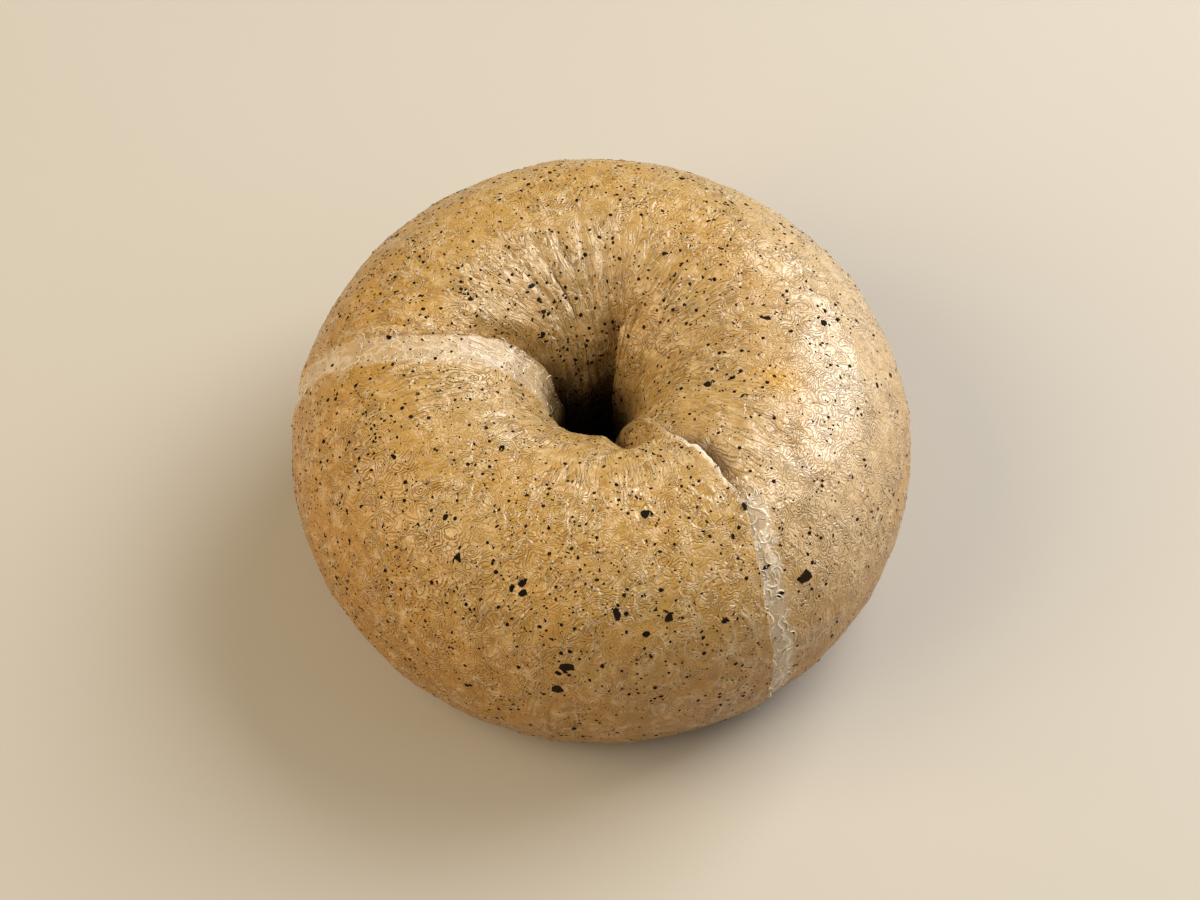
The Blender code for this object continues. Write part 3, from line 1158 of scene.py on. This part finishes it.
class BagelStage(bpy.types.PropertyGroup):
    """Where the camera stands, and the lights."""

    camera_elevation: bpy.props.FloatProperty(
        name="Camera elevation",
        description="Angle of the camera over the table",
        subtype="ANGLE",
        unit="ROTATION",
        default=math.radians(57),
    )
    camera_distance: bpy.props.FloatProperty(
        name="Camera distance",
        description="From the camera to the middle of the bagel",
        subtype="DISTANCE",
        unit="LENGTH",
        default=0.7,
    )
    lens: bpy.props.FloatProperty(
        name="Lens", description="Focal length in millimetres", default=123.9
    )
    key_power: bpy.props.FloatProperty(
        name="Key power", description="Watts of the light at the back right", default=12.0
    )
    fill_power: bpy.props.FloatProperty(
        name="Fill power", description="Watts of the warm light at the left", default=8.6
    )
    side_power: bpy.props.FloatProperty(
        name="Side power", description="Watts of the broad light at the right", default=4.2
    )
    sky: bpy.props.FloatProperty(
        name="Sky", description="Strength of the even light from all round", default=0.2
    )
    floor_colour: colour_setting("Floor", "Colour of the plain floor", (0.50, 0.465, 0.41))


# Operators


class BAGEL_OT_crust(bpy.types.Operator):
    """Makes the crust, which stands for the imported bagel"""

    bl_idname = "bagel.crust"
    bl_label = "Crust"

    def execute(self, context):
        sizes = context.scene.bagel_sizes
        skin = linked("skin", skin_mesh())
        crust = relief_tree().apply(
            skin,
            "crust",
            {
                "Swell Depth": sizes.swell_depth,
                "Dimple Depth": sizes.dimple_depth,
                "Wrinkle Depth": sizes.wrinkle_depth,
                "Pimple Height": sizes.pimple_height,
            },
        )
        bpy.data.objects.remove(skin, do_unlink=True)
        crust.data.materials.append(crust_material(context.scene.bagel_colours))
        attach(crust, "root")
        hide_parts("bagel")
        return {"FINISHED"}


class BAGEL_OT_specks(bpy.types.Operator):
    """Scatters the fine specks over the crust"""

    bl_idname = "bagel.specks"
    bl_label = "Specks"

    def execute(self, context):
        sizes = context.scene.bagel_sizes
        specks = speck_tree(fleck_material(context.scene.bagel_colours)).apply(
            bpy.data.objects["crust"],
            "specks",
            {
                "Density": sizes.speck_density,
                "Smallest": sizes.speck_smallest,
                "Largest": sizes.speck_largest,
            },
        )
        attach(specks, "root")
        return {"FINISHED"}


class BAGEL_OT_flakes(bpy.types.Operator):
    """Lays the larger flakes on the crust"""

    bl_idname = "bagel.flakes"
    bl_label = "Flakes"

    def execute(self, context):
        sizes = context.scene.bagel_sizes
        host = flake_host(bpy.data.objects["crust"], sizes)
        flakes = flake_tree(bpy.data.materials["fleck"]).apply(
            host, "flakes", {"Thickness": sizes.flake_thickness}
        )
        bpy.data.objects.remove(host, do_unlink=True)
        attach(flakes, "root")
        return {"FINISHED"}


class BAGEL_OT_strands(bpy.types.Operator):
    """Lays torn strands of dough along the bands beside the seams"""

    bl_idname = "bagel.strands"
    bl_label = "Strands"

    def execute(self, context):
        sizes = context.scene.bagel_sizes
        strands = strand_tree(strand_material(context.scene.bagel_colours)).apply(
            bpy.data.objects["crust"],
            "strands",
            {
                "Density": sizes.strand_density,
                "Thickness": sizes.strand_thickness,
                "Smallest": sizes.strand_smallest,
                "Largest": sizes.strand_largest,
            },
        )
        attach(strands, "root")
        return {"FINISHED"}


class BAGEL_OT_stage(bpy.types.Operator):
    """Sets out the floor, the lights and the camera"""

    bl_idname = "bagel.stage"
    bl_label = "Stage"

    def execute(self, context):
        stage = context.scene.bagel_stage
        make_floor(stage)
        make_light("key", 38, 40, 0.75, stage.key_power, (1.0, 0.99, 0.97))
        make_light("fill", 197, 41, 0.8, stage.fill_power, (1.0, 0.81, 0.53))
        make_light("side", 8, 28, 1.2, stage.side_power, (1.0, 0.98, 0.95))
        make_sky(context.scene, stage)
        make_camera(context.scene, stage)
        context.scene.view_settings.view_transform = "Standard"
        return {"FINISHED"}


class BAGEL_PT_panel(bpy.types.Panel):
    """Lists the settings and the steps"""

    bl_label = "Bagel"
    bl_idname = "BAGEL_PT_panel"
    bl_space_type = "VIEW_3D"
    bl_region_type = "UI"
    bl_category = "Bagel"

    def draw(self, context):
        scene = context.scene
        for settings in (scene.bagel_colours, scene.bagel_sizes, scene.bagel_stage):
            box = self.layout.box()
            for name in settings.__annotations__:
                box.prop(settings, name)
        for operator in OPERATORS:
            self.layout.operator(operator.bl_idname)


OPERATORS = (BAGEL_OT_crust, BAGEL_OT_specks, BAGEL_OT_flakes, BAGEL_OT_strands, BAGEL_OT_stage)
CLASSES = (BagelColours, BagelSizes, BagelStage, *OPERATORS, BAGEL_PT_panel)


def register():
    for each in CLASSES:
        bpy.utils.register_class(each)
    bpy.types.Scene.bagel_colours = bpy.props.PointerProperty(type=BagelColours)
    bpy.types.Scene.bagel_sizes = bpy.props.PointerProperty(type=BagelSizes)
    bpy.types.Scene.bagel_stage = bpy.props.PointerProperty(type=BagelStage)


def unregister():
    del bpy.types.Scene.bagel_stage
    del bpy.types.Scene.bagel_sizes
    del bpy.types.Scene.bagel_colours
    for each in reversed(CLASSES):
        bpy.utils.unregister_class(each)


def main():
    register()
    bpy.ops.bagel.crust()
    bpy.ops.bagel.specks()
    bpy.ops.bagel.flakes()
    bpy.ops.bagel.strands()
    bpy.ops.bagel.stage()


if __name__ == "__main__":
    main()
